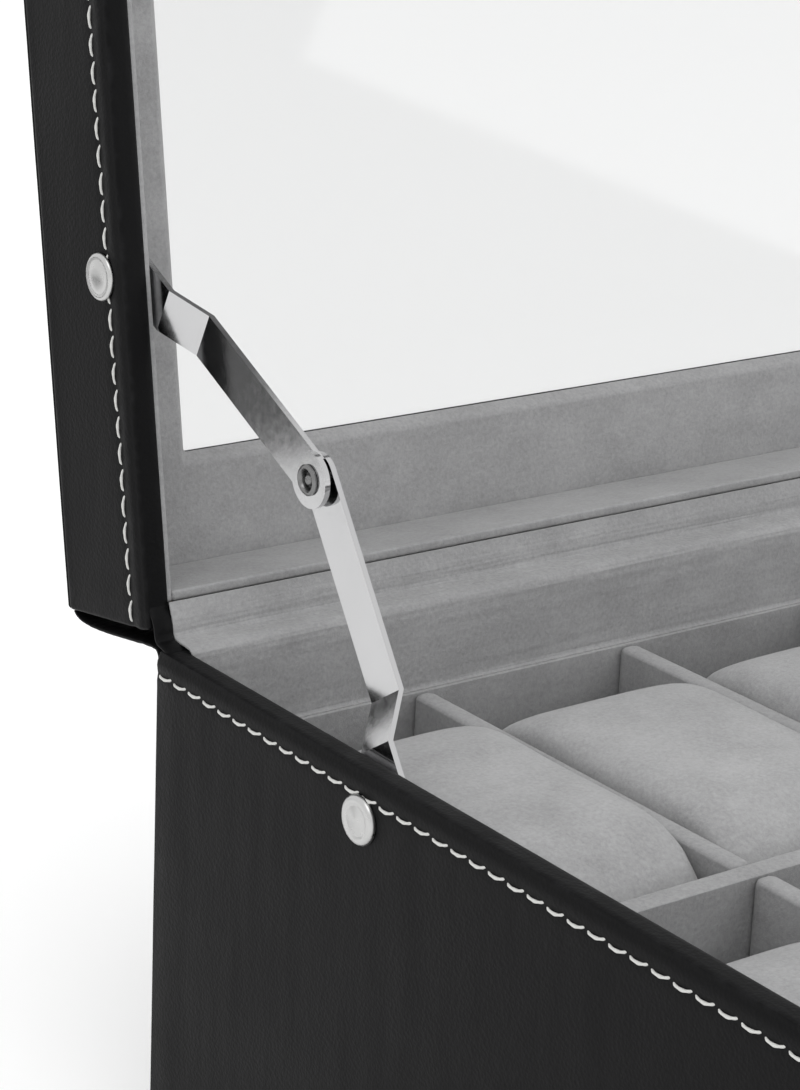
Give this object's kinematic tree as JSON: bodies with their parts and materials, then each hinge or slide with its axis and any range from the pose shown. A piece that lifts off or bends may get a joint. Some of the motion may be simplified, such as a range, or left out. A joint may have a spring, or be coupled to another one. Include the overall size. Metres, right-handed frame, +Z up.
{
  "type": "watch box",
  "caption": "Two-tier watch box in stitched black leather with a glazed hinged lid, folding lid stays, grey velvet pillow compartments, a lock and a drawer below.",
  "frame": {"origin": "centre of the underside of the base", "axes": "+Z up, -Y towards the front with the lock and the drawer, +Y towards the hinge, +X to the right seen from the front; the lid stands open"},
  "size_m": [0.3022, 0.2636, 0.2938],
  "materials": {
    "leather": "fine-grain semi-gloss black",
    "board": "raw fibreboard",
    "velvet": "short-pile grey velvet",
    "pillow_velvet": "short-pile grey velvet",
    "felt": "black felt",
    "glass": "clear polished",
    "chrome": "polished plate",
    "steel": "plated sheet"
  },
  "bodies": {
    "base": {"bottom_felt": "felt", "base_bottom_board": "board", "base_side_boards": "board", "base_back_board": "board", "base_front_board": "board", "tier_deck": "board", "base_leather": "leather", "base_side_linings": "velvet", "base_front_lining": "velvet", "base_back_lining": "velvet", "tray_floor": "velvet", "tray_frame": "velvet", "long_divider": "velvet", "cross_dividers": "velvet", "hinge_spine_leather": "leather", "hinge_velvet_strip": "velvet", "base_stay_rivets": "chrome", "lock_escutcheon": "chrome", "lock_case": "steel"},
    "lid": {"lid_side_rails": "board", "lid_cross_rails": "board", "lid_side_linings": "velvet", "lid_cross_linings": "velvet", "lid_velvet_frame": "velvet", "lid_glass_spacer": "board", "lid_glass": "glass", "lid_top_board": "board", "lid_leather": "leather", "lid_stay_rivets": "chrome", "lock_staple": "chrome"},
    "left_lower_link": {"left_stay_lower_link": "chrome", "left_stay_knee_rivet": "chrome"},
    "left_upper_link": {"left_stay_upper_link": "chrome", "left_stay_lid_clinch": "chrome"},
    "right_lower_link": {"right_stay_lower_link": "chrome", "right_stay_knee_rivet": "chrome"},
    "right_upper_link": {"right_stay_upper_link": "chrome", "right_stay_lid_clinch": "chrome"},
    "drawer": {"drawer_front": "leather", "drawer_walls": "velvet", "drawer_bottom": "velvet", "drawer_lining": "velvet", "drawer_partitions": "velvet", "drawer_knob": "chrome", "drawer_knob_screw": "chrome"},
    "lock_barrel": {"lock_barrel": "chrome"},
    "lock_bolt": {"lock_bolt": "steel"},
    "pillow_01": {"pillow_01": "pillow_velvet"},
    "pillow_02": {"pillow_02": "pillow_velvet"},
    "pillow_03": {"pillow_03": "pillow_velvet"},
    "pillow_04": {"pillow_04": "pillow_velvet"},
    "pillow_05": {"pillow_05": "pillow_velvet"},
    "pillow_06": {"pillow_06": "pillow_velvet"},
    "pillow_07": {"pillow_07": "pillow_velvet"},
    "pillow_08": {"pillow_08": "pillow_velvet"},
    "pillow_09": {"pillow_09": "pillow_velvet"},
    "pillow_10": {"pillow_10": "pillow_velvet"},
    "pillow_11": {"pillow_11": "pillow_velvet"},
    "pillow_12": {"pillow_12": "pillow_velvet"}
  },
  "joints": [
    {"name": "lid_hinge", "type": "hinge", "parent": "base", "child": "lid", "pos_m": [0, 0.0972, 0.104], "axis": [1, 0, 0], "range_deg": [0, 99], "deforming": ["hinge_spine_leather", "hinge_velvet_strip"]},
    {"name": "left_stay_lower", "type": "hinge", "parent": "base", "child": "left_lower_link", "pos_m": [-0.143, 0.03395, 0.0958], "axis": [1, 0, 0], "range_deg": [-1, 116.2]},
    {"name": "left_stay_upper", "type": "hinge", "parent": "left_lower_link", "child": "left_upper_link", "pos_m": [-0.143, 0.06455, 0.1415], "axis": [1, 0, 0], "range_deg": [-134.2, 1]},
    {"name": "right_stay_lower", "type": "hinge", "parent": "base", "child": "right_lower_link", "pos_m": [0.143, 0.03395, 0.0958], "axis": [1, 0, 0], "range_deg": [-1, 116.2]},
    {"name": "right_stay_upper", "type": "hinge", "parent": "right_lower_link", "child": "right_upper_link", "pos_m": [0.143, 0.06455, 0.1415], "axis": [1, 0, 0], "range_deg": [-134.2, 1]},
    {"name": "drawer_slide", "type": "slide", "parent": "base", "child": "drawer", "axis": [0, -1, 0], "range_m": [0, 0.13]},
    {"name": "lock_turn", "type": "hinge", "parent": "base", "child": "lock_barrel", "pos_m": [0, -0.095, 0.0945], "axis": [0, 1, 0], "range_deg": [0, 90]},
    {"name": "lock_bolt_slide", "type": "slide", "parent": "base", "child": "lock_bolt", "axis": [1, 0, 0], "range_m": [-0.0001, 0.0044]},
    {"name": "pillow_01_lift", "type": "slide", "parent": "base", "child": "pillow_01", "axis": [0, 0, -1], "range_m": [-0.055, 0]},
    {"name": "pillow_02_lift", "type": "slide", "parent": "base", "child": "pillow_02", "axis": [0, 0, -1], "range_m": [-0.055, 0]},
    {"name": "pillow_03_lift", "type": "slide", "parent": "base", "child": "pillow_03", "axis": [0, 0, -1], "range_m": [-0.055, 0]},
    {"name": "pillow_04_lift", "type": "slide", "parent": "base", "child": "pillow_04", "axis": [0, 0, -1], "range_m": [-0.055, 0]},
    {"name": "pillow_05_lift", "type": "slide", "parent": "base", "child": "pillow_05", "axis": [0, 0, -1], "range_m": [-0.055, 0]},
    {"name": "pillow_06_lift", "type": "slide", "parent": "base", "child": "pillow_06", "axis": [0, 0, -1], "range_m": [-0.055, 0]},
    {"name": "pillow_07_lift", "type": "slide", "parent": "base", "child": "pillow_07", "axis": [0, 0, -1], "range_m": [-0.055, 0]},
    {"name": "pillow_08_lift", "type": "slide", "parent": "base", "child": "pillow_08", "axis": [0, 0, -1], "range_m": [-0.055, 0]},
    {"name": "pillow_09_lift", "type": "slide", "parent": "base", "child": "pillow_09", "axis": [0, 0, -1], "range_m": [-0.055, 0]},
    {"name": "pillow_10_lift", "type": "slide", "parent": "base", "child": "pillow_10", "axis": [0, 0, -1], "range_m": [-0.055, 0]},
    {"name": "pillow_11_lift", "type": "slide", "parent": "base", "child": "pillow_11", "axis": [0, 0, -1], "range_m": [-0.055, 0]},
    {"name": "pillow_12_lift", "type": "slide", "parent": "base", "child": "pillow_12", "axis": [0, 0, -1], "range_m": [-0.055, 0]}
  ],
  "couplings": [
    {"joint": "left_stay_lower", "follows": "lid_hinge", "ratio": 1.1636},
    {"joint": "left_stay_upper", "follows": "lid_hinge", "ratio": -1.3457},
    {"joint": "right_stay_lower", "follows": "lid_hinge", "ratio": 1.1636},
    {"joint": "right_stay_upper", "follows": "lid_hinge", "ratio": -1.3457},
    {"joint": "lock_bolt_slide", "follows": "lock_turn", "m_per_rad": 0.0026993}
  ]
}
